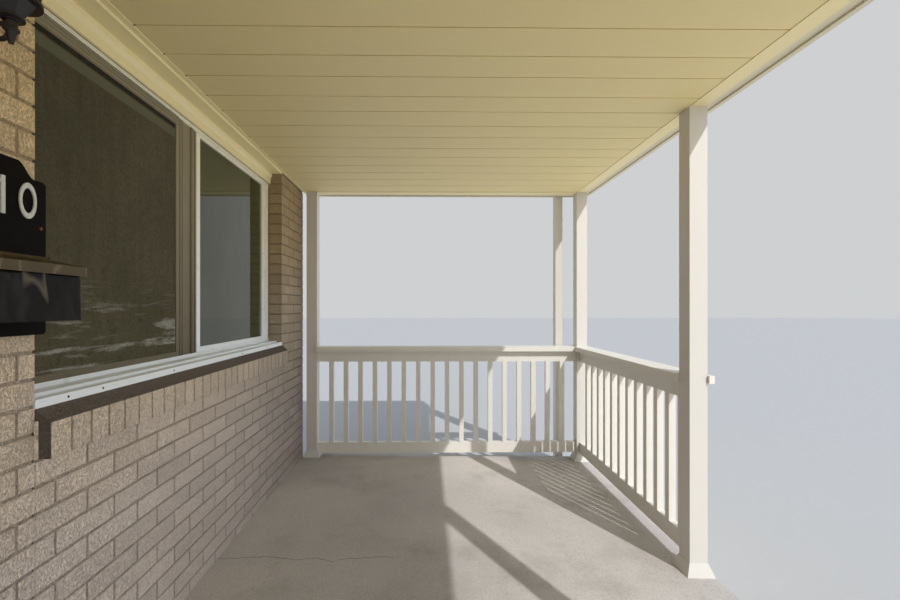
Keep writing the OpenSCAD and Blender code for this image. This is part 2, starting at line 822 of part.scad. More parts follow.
// The lantern, on a stem at the end of an arm with a scroll under it
module lantern_body() {
    rim_z = cage_z0 - lantern_rim_t;
    color("black") {
        block(lantern_x - lantern_plate_w / 2, y_face - lantern_plate_t, arm_z - lantern_plate_h / 2,
            lantern_x + lantern_plate_w / 2, y_face, arm_z + lantern_plate_h / 2);
        translate([lantern_x, lantern_y, arm_z]) rotate([-90, 0, 0])
            cylinder(h = lantern_out - lantern_plate_t, r = lantern_arm_r, $fn = 32);
        translate([lantern_x, lantern_y + lantern_scroll_r + lantern_arm_r, arm_z - lantern_scroll_r])
            rotate([0, 90, 0]) rotate_extrude($fn = 48) translate([lantern_scroll_r, 0])
                circle(r = lantern_arm_r, $fn = 24);
        translate([lantern_x, lantern_y, stem_z]) {
            cylinder(h = lantern_stem_h, r = lantern_stem_r, $fn = 48);
            translate([0, 0, -lantern_drop_h])
                cylinder(h = lantern_drop_h, r1 = lantern_arm_r, r2 = lantern_stem_r, $fn = 48);
        }
        six_sides(lantern_z, rim_z, lantern_foot_r, pane_r);
        translate([lantern_x, lantern_y, rim_z])
            cylinder(h = lantern_rim_t, r = pane_r + lantern_bar_w + lantern_rim_out, $fn = 64);
        six_sides(cage_z1, cage_z1 + lantern_roof_h, lantern_r + lantern_flare + lantern_eave,
            lantern_foot_r);
        six_sides(cage_z1 + lantern_roof_h, cage_z1 + lantern_roof_h + lantern_stem_r,
            lantern_stem_r, lantern_arm_r);
        for (i = [0 : 5])
            translate([lantern_x, lantern_y, cage_z0]) rotate([0, 0, 60 * i])
                along_y(-lantern_bar_w / 2, lantern_bar_w / 2) polygon([
                    [pane_r, 0], [pane_r + lantern_bar_w, 0],
                    [pane_r + lantern_bar_w + lantern_flare, lantern_glass_h],
                    [pane_r + lantern_flare, lantern_glass_h]
                ]);
    }
}

module lantern_glass() {
    color("lightyellow", 0.5) difference() {
        six_sides(cage_z0, cage_z1, pane_r, pane_r + lantern_flare);
        translate([0, 0, -eps]) six_sides(cage_z0, cage_z1 + 2 * eps, pane_r - pane_t,
            pane_r - pane_t + lantern_flare);
    }
}

// The top outline of the number board on one side, from its shoulder to its crown
function board_curve(side) = [
    for (t = [0 : 15 : 180])
        [
            side * (board_w / 2 - board_shoulder_w - board_curve_w * t / 180),
            board_h - board_crown_h * (1 + cos(t)) / 2
        ]
];

module number_board() {
    x = board_w / 2;
    z = board_h - board_crown_h;
    right = board_curve(1);
    left = board_curve(-1);
    color("black") translate([board_mid, 0, board_z0]) along_y(board_y0, y_face) polygon(concat(
        [[x - board_corner, 0], [x, board_corner], [x, z - board_corner], [x - board_corner, z]],
        right,
        [for (i = [len(left) - 1 : -1 : 0]) left[i]],
        [[-x + board_corner, z], [-x, z - board_corner], [-x, board_corner], [-x + board_corner, 0]]
    ));
}

// The height of the open top of the mailbox at a distance in front of its hinge rod
function box_top(d) = rod_z - box_slope * (rod_out + d);

module mailbox_body() {
    ear_y = rod_y - barrel_r;
    color("black") {
        difference() {
            along_x(box_x0, box_x1) polygon([
                [box_y0, box_z0],
                [board_y0, box_z0],
                [board_y0, rod_z + barrel_r],
                [ear_y, rod_z + barrel_r],
                [ear_y, box_top(barrel_r)],
                [box_y0, box_top(box_d - rod_out)]
            ]);
            block(box_x0 + box_t, box_y0 + box_t, box_z0 + box_t,
                box_x1 - box_t, board_y0 - box_t, rod_z + 2 * barrel_r);
        }
        for (x = [box_x0 + box_t, box_x1 - box_t - rod_l])
            translate([x, rod_y, rod_z]) rotate([0, 90, 0])
                cylinder(h = rod_l, r = rod_r, $fn = 48);
    }
}

module mailbox_lid() {
    x0 = box_x0 + box_t + lid_gap;
    x1 = box_x1 - box_t - lid_gap;
    neck_d = 2 * barrel_r;
    edge_d = box_d - rod_out + lid_over;
    neck = [rod_y - neck_d, box_top(neck_d) + lid_gap];
    edge = [rod_y - edge_d, box_top(edge_d) + lid_gap];
    color("saddlebrown") difference() {
        union() {
            translate([x0, rod_y, rod_z]) rotate([0, 90, 0])
                cylinder(h = x1 - x0, r = barrel_r, $fn = 48);
            along_x(x0, x1) polygon([
                neck, [rod_y - rod_r, rod_z - barrel_r + box_t / 2], [rod_y, rod_z + barrel_r],
                neck + [0, box_t], neck + [-box_t, box_t], neck + [-box_t, 0]
            ]);
            along_x(lid_x0, lid_x1) polygon([
                neck, neck + [0, box_t], edge + [0, box_t], edge - [0, lid_lip_h],
                edge + [box_t, -lid_lip_h], edge + [box_t, box_slope * box_t]
            ]);
            for (x = [lid_x0, lid_x1 - box_t])
                along_x(x, x + box_t) polygon([
                    neck + [0, box_t], neck - [0, lid_side_h], edge - [0, lid_side_h],
                    edge + [0, box_t]
                ]);
        }
        translate([x0 - eps, rod_y, rod_z]) rotate([0, 90, 0])
            cylinder(h = x1 - x0 + 2 * eps, r = rod_r + rod_gap, $fn = 48);
    }
}

porch_slab();
brick_pier_far();
brick_below_window();
brick_pier_middle();
brick_pier_near();
brick_sill();
framed_wall();
window_frame();
window_mullion();
fixed_sash();
sliding_sash();
window_glass();
screen_frame();
insect_screen();
door_frame();
front_door();
door_threshold();
head_trim();
ceiling_boards();
ceiling_channel();
front_beam();
end_beams();
fascia();
far_posts();
near_posts();
post_skirts();
far_end_railing();
far_bay_railing();
near_end_railing();
near_bay_railing();
far_handrail();
near_handrail();
gable_wall();
gable_closure();
rake_boards();
far_roof_slope();
near_roof_slope();
far_gutter();
near_gutter();
downspouts();
lantern_body();
lantern_glass();
number_board();
mailbox_body();
mailbox_lid();
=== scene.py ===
"""The looks of a front porch: materials, bricks, shingles, siding and small fittings over the frame."""
import json
import math
import random

import bmesh
import bpy
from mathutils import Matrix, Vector


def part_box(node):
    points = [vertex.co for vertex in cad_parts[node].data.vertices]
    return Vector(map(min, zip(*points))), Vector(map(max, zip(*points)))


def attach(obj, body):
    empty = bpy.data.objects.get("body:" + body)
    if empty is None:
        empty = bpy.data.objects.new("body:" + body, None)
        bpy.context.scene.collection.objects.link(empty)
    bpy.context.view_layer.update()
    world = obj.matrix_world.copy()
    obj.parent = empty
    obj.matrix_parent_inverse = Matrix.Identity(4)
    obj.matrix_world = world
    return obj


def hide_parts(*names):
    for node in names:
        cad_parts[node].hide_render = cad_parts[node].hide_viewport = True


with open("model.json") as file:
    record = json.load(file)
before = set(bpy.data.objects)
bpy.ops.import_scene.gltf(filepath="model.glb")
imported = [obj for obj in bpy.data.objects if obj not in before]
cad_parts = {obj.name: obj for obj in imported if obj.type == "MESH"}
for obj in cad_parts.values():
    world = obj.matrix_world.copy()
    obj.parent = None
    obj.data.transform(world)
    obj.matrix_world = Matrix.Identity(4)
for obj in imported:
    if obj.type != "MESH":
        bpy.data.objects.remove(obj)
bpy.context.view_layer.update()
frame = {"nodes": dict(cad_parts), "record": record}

NODES = frame["nodes"]
RNG = random.Random(11)


def box_of(node):
    """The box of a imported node, as x0, y0, z0, x1, y1, z1."""
    low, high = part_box(node)
    return (low.x, low.y, low.z, high.x, high.y, high.z)


# Levels that many pieces share: the top of the slab at the wall, and the planes of bricks and window
SLAB_TOP = box_of("porch_slab")[5]
BRICK_FACE = box_of("brick_below_window")[1]
WINDOW_FACE = box_of("screen_frame")[1]


# Materials
def srgb(*screen):
    """A colour given in three screen values from 0 to 255."""
    def linear(value):
        value /= 255
        return value / 12.92 if value <= 0.04045 else ((value + 0.055) / 1.055) ** 2.4
    return (*(linear(value) for value in screen), 1.0)


def shade(color, factor):
    """A colour made darker or lighter."""
    return (*(value * factor for value in color[:3]), 1.0)


class Nodes:
    """Short ways to add nodes to a tree and to join them."""

    def __init__(self, tree):
        self.tree = tree

    def set(self, node, socket, value):
        if isinstance(value, bpy.types.NodeSocket):
            self.tree.links.new(value, node.inputs[socket])
        else:
            node.inputs[socket].default_value = value

    def add(self, kind, *values, **props):
        """A new node, whose first inputs take the values in turn."""
        node = self.tree.nodes.new(kind)
        for key, value in props.items():
            setattr(node, key, value)
        for i, value in enumerate(values):
            self.set(node, i, value)
        return node

    def range(self, value, low, high, to_low=0.0, to_high=1.0):
        """A value that runs from low to high, made to run from to_low to to_high."""
        return self.add("ShaderNodeMapRange", value, low, high, to_low, to_high).outputs[0]

    def math(self, operation, a, b=0.0, c=0.0):
        return self.add("ShaderNodeMath", a, b, c, operation=operation).outputs[0]

    def mix(self, factor, a, b):
        """A colour between a and b."""
        node = self.add("ShaderNodeMix", factor, data_type="RGBA")
        self.set(node, 6, a)
        self.set(node, 7, b)
        return node.outputs[2]

    def seen(self):
        """One for the rays of the picture itself, straight, mirrored or through glass, and else nought."""
        path = self.add("ShaderNodeLightPath").outputs
        some = self.math("ADD", path["Is Camera Ray"], path["Is Glossy Ray"])
        return self.math("MINIMUM", self.math("ADD", some, path["Is Transmission Ray"]), 1.0)


class Look(Nodes):
    """A material, built up from noise in the object's own coordinates."""

    def __init__(self, name, color, rough=0.5, metallic=0.0, specular=0.5):
        self.mat = bpy.data.materials.new(name)
        self.mat.use_nodes = True
        super().__init__(self.mat.node_tree)
        self.shader = self.tree.nodes["Principled BSDF"]
        self.object = self.add("ShaderNodeTexCoord").outputs["Object"]
        self.color(color)
        self.rough(rough)
        self.set(self.shader, "Metallic", metallic)
        self.set(self.shader, "Specular IOR Level", specular)

    def noise(self, scale, detail=4.0, rough=0.55, stretch=(1, 1, 1), distortion=0.0):
        mapping = self.add("ShaderNodeMapping")
        self.set(mapping, "Vector", self.object)
        self.set(mapping, "Scale", stretch)
        node = self.add("ShaderNodeTexNoise")
        self.set(node, "Vector", mapping.outputs[0])
        self.set(node, "Scale", scale)
        self.set(node, "Detail", detail)
        self.set(node, "Roughness", rough)
        self.set(node, "Distortion", distortion)
        return node.outputs["Fac"]

    def cells(self, scale):
        """The distance from the nearest of many scattered points."""
        node = self.add("ShaderNodeTexVoronoi")
        self.set(node, "Vector", self.object)
        self.set(node, "Scale", scale)
        return node.outputs["Distance"]

    def away(self, value, middle):
        """How far a value lies from the middle, either way."""
        return self.math("ABSOLUTE", self.math("SUBTRACT", value, middle))

    def tone(self):
        """The shade that a mesh carries on each of its faces."""
        return self.add("ShaderNodeAttribute", attribute_name="tone").outputs["Fac"]

    def axis(self, name):
        return self.add("ShaderNodeSeparateXYZ", self.object).outputs[name]

    def color(self, value):
        self.set(self.shader, "Base Color", value)

    def rough(self, value):
        self.set(self.shader, "Roughness", value)

    def bump(self, height, strength, distance, under=None):
        """Relief from a height, over the relief under it if there is one."""
        node = self.add("ShaderNodeBump")
        self.set(node, "Height", height)
        self.set(node, "Strength", strength)
        self.set(node, "Distance", distance)
        if under is not None:
            self.set(node, "Normal", under)
        self.set(self.shader, "Normal", node.outputs[0])
        return node.outputs[0]


CREAM, SILL_GREY, SHINGLE_GREY = srgb(232, 216, 162), srgb(122, 112, 105), srgb(98, 94, 90)
# The trim turns paler beyond these planes, over the width of the edge
PALE_BEYOND_X, PALE_BEYOND_Y, PALE_BEYOND_Z, PALE_EDGE = 2.43, -1.19, 2.43, 0.02
# A paint that changes towards its top does so between these heights
FADE_LOW, FADE_HIGH = 1.2, 2.1
# Stretches that draw fine relief out along an axis, and the grain of wood
ALONG_X, ALONG_Y, ALONG_Z = (0.05, 1, 1), (1, 0.05, 1), (1, 1, 0.1)
GRAIN_X, GRAIN_Z = (0.8, 18, 18), (18, 18, 0.8)
# In each material below, m is the material in the making and c its colour so far


def outdoors(m):
    """How far a point lies outside the line of the posts and beams, from 0 to 1."""
    aside = m.range(m.math("ABSOLUTE", m.axis("X")), PALE_BEYOND_X, PALE_BEYOND_X + PALE_EDGE)
    ahead = m.range(m.axis("Y"), PALE_BEYOND_Y, PALE_BEYOND_Y - PALE_EDGE)
    above = m.range(m.axis("Z"), PALE_BEYOND_Z, PALE_BEYOND_Z + PALE_EDGE)
    return m.math("MAXIMUM", m.math("MAXIMUM", aside, ahead), above)


def painted(name, color, rough=0.42, wear=0.10, grain=(1, 1, 1), dirt=None, top=None, outside=None):
    """Brushed or rolled paint with fine relief, and where given a shade for dirt, top and outside."""
    m = Look(name, color, rough)
    fine = m.noise(38, 5, stretch=grain)
    c = m.mix(m.range(m.noise(1.6, 3), 0.3, 0.7), shade(color, 1 - wear), color)
    c = m.mix(m.range(fine, 0.25, 0.75), shade(color, 1 - wear * 0.7), c)
    if top:
        c = m.mix(m.range(m.axis("Z"), FADE_LOW, FADE_HIGH), c, top)
    if outside:
        c = m.mix(outdoors(m), c, outside)
    if dirt:
        spots = m.range(m.noise(9, 6, 0.65), 0.60, 0.74)
        c = m.mix(m.math("MULTIPLY", spots, 0.5), c, dirt)
    m.color(c)
    m.rough(m.range(fine, 0.2, 0.8, rough - 0.08, rough + 0.12))
    m.bump(fine, 0.25, 0.0008)
    return m.mat


def masonry_paint(name, low, high, dark=0.46, ridges=(1, 1, 0.5)):
    """Old paint over rough wire-cut bricks, with each brick a little lighter or darker, painted light
    warmer towards the top, painted shade towards the far end and painted shade in the hollows of the
    relief.
    """
    m = Look(name, low, 0.72, specular=0.25)
    # A dark colour mixed in for the tone of each brick, for the joints, and for painted shade towards the
    # far end
    dark_tone_and_shade = (0.02, 0.017, 0.013, 1)
    # Painted light: the colour turns warmer towards the top, where light off the cream ceiling falls, and
    # stays cooler low down, where sky light falls
    c = m.mix(m.range(m.axis("Z"), 0.70, 2.0), low, high)
    # Painted shade: the wall darkens towards the far end, where less light reaches it
    c = m.mix(m.range(m.axis("X"), 0.3, 2.3, 0, 0.54), c, dark_tone_and_shade)
    c = m.mix(m.range(m.noise(1.4, 3), 0.3, 0.7, 0, 0.12), c, dark_tone_and_shade)
    c = m.mix(m.range(m.tone(), 0, 1, 0.16, 0), c, dark_tone_and_shade)
    c = m.mix(m.range(m.tone(), -1, 0, 0.36, 0), c, dark_tone_and_shade)
    cuts = m.range(m.away(m.noise(88, 3, 0.6, ridges, 1.6), 0.5), 0.0, 0.05, 1, 0)
    pits = m.range(m.noise(210, 5, 0.7, ridges), 0.35, 0.46, 1, 0)
    rough = m.math("MAXIMUM", m.math("MULTIPLY", cuts, 0.7), pits)
    # Painted shade: the cuts and pits of the relief are darkened as well as sunk
    m.color(m.mix(m.math("MULTIPLY", rough, dark), c, (0.05, 0.04, 0.03, 1)))
    under = m.bump(m.noise(40, 4, 0.6), 0.5, 0.004)
    m.bump(m.math("SUBTRACT", 1.0, rough), 0.8, 0.003, under)
    return m.mat


def concrete():
    """Smooth worn slab: fine sand, faint stains and one hairline crack from the wall outwards."""
    m = Look("concrete", srgb(178, 174, 172), 0.85, specular=0.3)
    crack_x, crack_from, crack_full = 0.86, 0.30, 0.38
    fine = m.noise(120, 5, 0.75)
    sand = m.cells(300)
    c = m.mix(m.range(m.noise(0.7, 4, 0.55), 0.3, 0.7), srgb(168, 164, 162), srgb(202, 196, 190))
    c = m.mix(m.range(m.noise(3.4, 6, 0.6), 0.50, 0.72, 0, 0.42), c, srgb(138, 131, 123))
    c = m.mix(m.range(fine, 0.50, 0.66, 0, 0.50), c, srgb(124, 119, 113))
    c = m.mix(m.range(sand, 0.0, 0.16, 0.5, 0), c, srgb(108, 102, 95))
    wander = m.range(m.noise(3.2, 4, 0.6, stretch=(0.02, 1, 1)), 0, 1, -0.09, 0.09)
    line = m.range(m.away(m.axis("X"), m.math("ADD", wander, crack_x)), 0.001, 0.0028, 1, 0)
    crack = m.math("MULTIPLY", line, m.range(m.axis("Y"), crack_from, crack_full))
    m.color(m.mix(m.math("MULTIPLY", crack, 0.75), c, srgb(66, 60, 54)))
    under = m.bump(m.math("SUBTRACT", fine, crack), 0.35, 0.0012)
    m.bump(sand, 0.12, 0.0005, under)
    return m.mat


def window_pane():
    """Dark glass with a film of dust; its olive base colour is partly a painted reflection of foliage."""
    # The olive colour is the dark glass with a painted reflection of foliage in it
    color, rough = srgb(66, 69, 44), 0.02
    m = Look("window_glass", color, rough)
    m.set(m.shader, "Transmission Weight", 0.2)
    m.set(m.shader, "IOR", 1.5)
    dust = m.noise(5, 6, 0.7, stretch=(1, 1, 0.4))
    m.color(m.mix(m.range(dust, 0.45, 0.8), color, shade(color, 1.7)))
    m.rough(m.range(dust, 0.3, 0.8, rough, rough + 0.05))
    return m.mat


def insect_mesh():
    """Dark woven mesh, seen as a dusty film with streaks, specks and the weave in its relief, pale smears
    at its foot that are partly painted reflection, and a painted shadow of the top bar over the rail that
    shows through.
    """
    m = Look("insect_mesh", srgb(70, 66, 50), 0.8, specular=0.25)
    m.set(m.shader, "Alpha", 0.88)
    x, z = m.axis("X"), m.axis("Z")
    streak = m.noise(9, 5, 0.7, stretch=(4, 1, 0.45))
    film = m.noise(1.8, 5, 0.65, stretch=(1, 1, 0.8))
    c = m.mix(m.range(streak, 0.25, 0.75), srgb(74, 70, 53), srgb(90, 86, 66))
    c = m.mix(m.range(film, 0.40, 0.66, 0, 0.5), c, srgb(108, 103, 82))
    grime = m.range(m.noise(26, 6, 0.75), 0.56, 0.66)
    c = m.mix(m.math("MULTIPLY", grime, m.range(z, 1.95, 1.35, 0, 0.55)), c, srgb(38, 35, 26))
    # Pale smears near the foot: real smears, and partly a painted reflection
    smear_and_reflection = m.noise(2.2, 6, 0.7, stretch=(1, 1, 9), distortion=0.6)
    foot = m.math("MULTIPLY", m.range(z, 1.58, 1.30), m.range(smear_and_reflection, 0.52, 0.62, 0, 0.85))
    c = m.mix(foot, c, srgb(176, 177, 172))
    c = m.mix(m.range(m.cells(45), 0.0, 0.10, 0.35, 0), c, srgb(128, 122, 102))
    c = m.mix(m.range(m.noise(140, 3, 0.7), 0.42, 0.62, 0, 0.45), c, srgb(52, 49, 37))
    # The rail of the sash shows through at these heights, with a painted shadow of the screen's top bar
    # over it
    low, high = 2.206, 2.246
    rail = m.math("MULTIPLY", m.range(z, low, low + 0.007), m.range(z, high + 0.006, high))
    c = m.mix(m.math("MULTIPLY", rail, 0.6), c, srgb(112, 114, 92))
    m.color(m.mix(m.range(z, high + 0.001, high + 0.009, 0, 0.75), c, srgb(30, 29, 22)))
    threads = [m.math("SINE", m.math("MULTIPLY", along, 4200)) for along in (x, z)]
    m.bump(m.math("ADD", *threads), 0.3, 0.0003)
    return m.mat


def metal(name, color, rough, metallic, flow=(1, 1, 1), relief=0.15):
    """Bare or painted metal, whose fine relief may run one way."""
    m = Look(name, color, rough, metallic)
    fine = m.noise(90, 5, 0.6, stretch=flow)
    m.color(m.mix(m.range(m.noise(7, 4), 0.35, 0.65), shade(color, 0.85), color))
    m.rough(m.range(fine, 0.2, 0.8, rough - 0.06, rough + 0.1))
    m.bump(fine, relief, 0.0006)
    return m.mat


def wood_paint(name, color, stretch, relief, specular):
    """Painted wood whose grain still shows, fine across the boards and long along them."""
    rough = 0.35
    m = Look(name, color, rough, specular=specular)
    grain = m.noise(4, 6, 0.6, stretch, 0.6)
    m.color(m.mix(m.range(grain, 0.35, 0.7), shade(color, 0.72), shade(color, 1.05)))
    m.rough(m.range(grain, 0.3, 0.7, rough - 0.05, rough + 0.15))
    m.bump(grain, relief, 0.0015)
    return m.mat


def shingle():
    """Grit on asphalt, in a shade of its own on each tab."""
    m = Look("shingles", SHINGLE_GREY, 0.9)
    grit = m.noise(700, 2)
    c = m.mix(m.tone(), srgb(74, 71, 69), srgb(116, 111, 105))
    c = m.mix(m.range(m.noise(6, 5, 0.7), 0.4, 0.65), shade(SHINGLE_GREY, 0.75), c)
    m.color(m.mix(m.range(grit, 0.45, 0.6), shade(SHINGLE_GREY, 0.6), c))
    m.bump(grit, 0.5, 0.002)
    return m.mat


def enamel(name, color, rough, ripple, specular):
    """Glossy enamel on thin metal, whose dents make the reflections run, with dust and thin pale swirls of
    painted reflection.
    """
    m = Look(name, color, rough, specular=specular)
    dents = m.noise(6, 2, 0.4, (1.6, 1, 0.8), 0.2)
    dust = m.noise(60, 6, 0.7)
    reflection_swirl = m.away(m.noise(4, 1, 0.3, (1.8, 1, 0.6), 1.2), 0.5)
    c = m.mix(m.range(dust, 0.55, 0.75, 0, 0.25), color, shade(color, 2.2))
    # Painted reflection: thin pale swirls that stand for light running over the glossy enamel
    m.color(m.mix(m.range(reflection_swirl, 0.0, 0.012, 0.35, 0), c, srgb(150, 140, 122)))
    m.rough(m.range(dust, 0.3, 0.7, rough, rough + 0.14))
    under = m.bump(dents, 0.8, ripple)
    m.bump(dust, 0.08, 0.0005, under)
    return m.mat


def lantern_pane():
    """Rippled pale glass with a film of dust."""
    m = Look("lantern_glass", srgb(196, 206, 182), 0.22)
    m.set(m.shader, "Transmission Weight", 0.7)
    m.set(m.shader, "IOR", 1.45)
    m.color(m.mix(m.range(m.noise(14, 5), 0.35, 0.7), srgb(176, 188, 160), srgb(226, 230, 212)))
    m.bump(m.noise(60, 3, 0.5, distortion=1.0), 0.5, 0.002)
    return m.mat


def accent(name, color, rough, metallic=0.0):
    """A small fitting's finish, with a little unevenness."""
    m = Look(name, color, rough, metallic)
    spread = m.noise(120, 4)
    m.color(m.mix(m.range(spread, 0.3, 0.7), shade(color, 0.8), color))
    m.rough(m.range(spread, 0.3, 0.7, rough - 0.05, rough + 0.1))
    return m.mat


MATERIALS = {
    "concrete": concrete(),
    # The brick's low colour and its warmer high colour are painted light
    "painted_brick": masonry_paint("painted_brick", srgb(240, 228, 220), srgb(236, 208, 160)),
    "sill_paint": masonry_paint("sill_paint", SILL_GREY, SILL_GREY, 0.8, (1, 1, 1)),
    "wall_lining": painted("wall_lining", srgb(208, 204, 196), 0.6),
    # Painted light: the vinyl is bluish white low down, where sky light falls, and warmer towards its top,
    # where light off the cream ceiling falls
    "white_vinyl": painted("white_vinyl", srgb(236, 244, 253), 0.3, 0.04, (0.1, 1, 1),
                           dirt=srgb(186, 188, 186), top=srgb(239, 234, 216)),
    "bronze_frame": painted("bronze_frame", srgb(106, 98, 79), 0.5, 0.14, ALONG_Z,
                            dirt=srgb(80, 71, 52), top=srgb(138, 129, 106)),
    "window_glass": window_pane(),
    "insect_mesh": insect_mesh(),
    "door_trim": painted("door_trim", CREAM, 0.4),
    "door_paint": wood_paint("door_paint", srgb(112, 42, 32), GRAIN_Z, 0.3, 0.4),
    "threshold_metal": metal("threshold_metal", srgb(176, 176, 172), 0.35, 0.9, ALONG_X),
    "cream_trim": painted("cream_trim", srgb(241, 228, 180), 0.4, 0.05, outside=srgb(212, 205, 182)),
    "gutter_metal": painted("gutter_metal", srgb(212, 209, 201), 0.35, 0.05),
    "soffit_boards": painted("soffit_boards", CREAM, 0.5, 0.05, ALONG_Y),
    "post_paint": painted("post_paint", srgb(210, 207, 201), 0.42, 0.05, ALONG_Z, dirt=srgb(214, 206, 188)),
    "railing_paint": painted("railing_paint", srgb(226, 223, 216), 0.45, 0.06, dirt=srgb(206, 198, 180)),
    "lap_siding": painted("lap_siding", srgb(204, 198, 178), 0.5, 0.06, ALONG_X),
    "shingles": shingle(),
    "black_iron": metal("black_iron", srgb(30, 28, 26), 0.4, 0.0, relief=0.6),
    "lantern_glass": lantern_pane(),
    "black_wood": wood_paint("black_wood", srgb(16, 12, 9), GRAIN_X, 0.8, 0.06),
    "black_metal": enamel("black_metal", srgb(20, 18, 15), 0.12, 0.03, 0.15),
    "brown_metal": enamel("brown_metal", srgb(80, 69, 48), 0.3, 0.006, 0.25),
    "digit_paint": accent("digit_paint", srgb(206, 206, 202), 0.35),
    "rust": accent("rust", srgb(128, 70, 34), 0.8),
    "brass": accent("brass", srgb(196, 160, 92), 0.25, 0.9),
    "drain_shadow": accent("drain_shadow", srgb(30, 28, 25), 0.9),
    "caulk": accent("caulk", srgb(140, 112, 72), 0.7),
    "bulb": accent("bulb", srgb(238, 234, 218), 0.3),
}
SLOT_OF = {part["node"]: part["material_slot"] for part in frame["record"]["subparts"]}
for name, obj in NODES.items():
    obj.data.materials.clear()
    obj.data.materials.append(MATERIALS[SLOT_OF[name]])


# Meshes
class Shape:
    """A mesh put together from closed solids, in world coordinates."""

    def __init__(self):
        self.bm = bmesh.new()
        self.layer = self.bm.faces.layers.float.new("tone")

    def loft(self, rings, tone=0.5, slot=0, around=False):
        """Joins rings of equally many points, and closes both ends or leads round to the first ring."""
        rows = [[self.bm.verts.new(point) for point in ring] for ring in rings]
        first, last = rows[0], rows[-1]
        count = len(first)
        outlines = []
        for a, b in zip(rows, rows[1:] + [first] if around else rows[1:]):
            for i in range(count):
                j = (i + 1) % count
                outlines.append((a[i], a[j], b[j], b[i]))
        if not around:
            outlines += [first[::-1], last]
        for outline in outlines:
            face = self.bm.faces.new(outline)
            face[self.layer] = tone
            face.material_index = slot

    def along_x(self, outline, x0, x1, tone=0.5, slot=0):
        """A bar from x0 to x1 with an outline in Y and Z."""
        self.loft([[(x, y, z) for y, z in outline] for x in (x0, x1)], tone, slot)

    def along_y(self, outline, y0, y1, tone=0.5, slot=0):
        """A bar from y0 to y1 with an outline in X and Z."""
        self.loft([[(x, y, z) for x, z in outline] for y in (y0, y1)], tone, slot)

    def block(self, x0, y0, z0, x1, y1, z1, tone=0.5, slot=0):
        self.along_y([(x0, z0), (x1, z0), (x1, z1), (x0, z1)], y0, y1, tone, slot)

    def turned(self, center, axis, profile, count=24, slot=0):
        """A turned solid from pairs of distance along the axis and radius."""
        start, along = Vector(center), Vector(axis)
        u = along.orthogonal().normalized()
        v = along.cross(u)
        turn = [2 * math.pi * i / count for i in range(count)]
        self.loft([[start + along * step + (u * math.cos(angle) + v * math.sin(angle)) * radius
                    for angle in turn] for step, radius in profile], slot=slot)

    def piece(self, name, slot, replaces=(), materials=None, smooth=None):
        """Makes the shape an object that rides on the porch."""
        bmesh.ops.recalc_face_normals(self.bm, faces=self.bm.faces)
        mesh = bpy.data.meshes.new(name)
        self.bm.to_mesh(mesh)
        self.bm.free()
        for material in materials or [slot]:
            mesh.materials.append(MATERIALS[material])
        obj = bpy.data.objects.new(name, mesh)
        bpy.context.scene.collection.objects.link(obj)
        if smooth:
            mesh.shade_smooth()
            obj.modifiers.new("edges", "EDGE_SPLIT").split_angle = math.radians(smooth)
        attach(obj, "porch")
        if replaces:
            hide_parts(*replaces)


# Bricks: their courses and lengths with a joint, and where one of each begins
COURSE, COURSE_AT = 0.0735, SLAB_TOP + 0.786
BRICK, BRICK_AT = 0.2335, -0.003
JOINT, RECESS, BRICK_EDGE = 0.0085, 0.005, 0.002
SHORTEST, UNEVEN = 0.012, 0.0012
# The bricks on edge of the sill: their pitch, the fall and thickness of their top, and their cut edges
SILL_BRICK, SILL_BRICK_AT = 0.0728, -0.112
SILL_FALL, SILL_SKIN, SILL_EDGE = 0.033, 0.004, 0.0015
# The mortar under them, how far it stands back from their faces, and how far they reach into the wall
SILL_BED, SILL_RECESS, SILL_REACH = 0.002, 0.004, 0.02


def spans(low, high, at, pitch):
    """The stretches between the joints at a pitch, cut to what lies between low and high."""
    first = math.floor((low - at) / pitch)
    edges = [at + i * pitch for i in range(first, first + int((high - low) / pitch) + 3)]
    cut = [(max(a + JOINT / 2, low), min(b - JOINT / 2, high)) for a, b in zip(edges, edges[1:])]
    return [(a, b) for a, b in cut if b - a > SHORTEST]


def brick(shape, x0, y0, z0, x1, y1, z1, tone):
    """A block whose edges are cut at 45 degrees at its front and back."""
    def ring(y, cut):
        a, b, low, high = x0 + cut, x1 - cut, z0 + cut, z1 - cut
        return [(a, y, low), (b, y, low), (b, y, high), (a, y, high)]
    edge = BRICK_EDGE
    shape.loft([ring(y0, edge), ring(y0 + edge, 0), ring(y1 - edge, 0), ring(y1, edge)], tone)


def brick_blocks(shape, x0, y0, z0, x1, y1, z1, back):
    """Bricks in running bond over a core of mortar, which lies back at both ends by the recess given."""
    shape.block(x0 + back, y0 + RECESS, z0, x1 - back, y1, z1, -1.0)
    for low, high in spans(z0, z1, COURSE_AT, COURSE):
        odd = round((low - COURSE_AT) / COURSE) % 2
        for left, right in spans(x0, x1, BRICK_AT + odd * BRICK / 2, BRICK):
            tone = RNG.random()
            front = y0 + RNG.uniform(0, UNEVEN)
            brick(shape, left, front, low, right, y1 - 0.001, high, tone)


def brick_wall():
    """The brick skin: two piers, the wall below the window and a pier with the doorway beside it."""
    x0, y0, z0, _, y1, z1 = box_of("brick_pier_near")
    door_x0, door_x1 = box_of("door_frame")[0], box_of("door_frame")[3]
    blocks = {
        "brick_pier_far": [(*box_of("brick_pier_far"), RECESS)],
        "brick_below_window": [(*box_of("brick_below_window"), 0)],
        "brick_pier_middle": [(*box_of("brick_pier_middle"), RECESS)],
        "brick_pier_near": [
            (x0, y0, z0, door_x0, y1, z1, RECESS),
            (door_x0, y0, z0, door_x1, y1, SLAB_TOP, 0),
        ],
    }
    for name, parts in blocks.items():
        shape = Shape()
        for part in parts:
            brick_blocks(shape, *part)
        shape.piece(name + "_bricks", "painted_brick", replaces=[name])


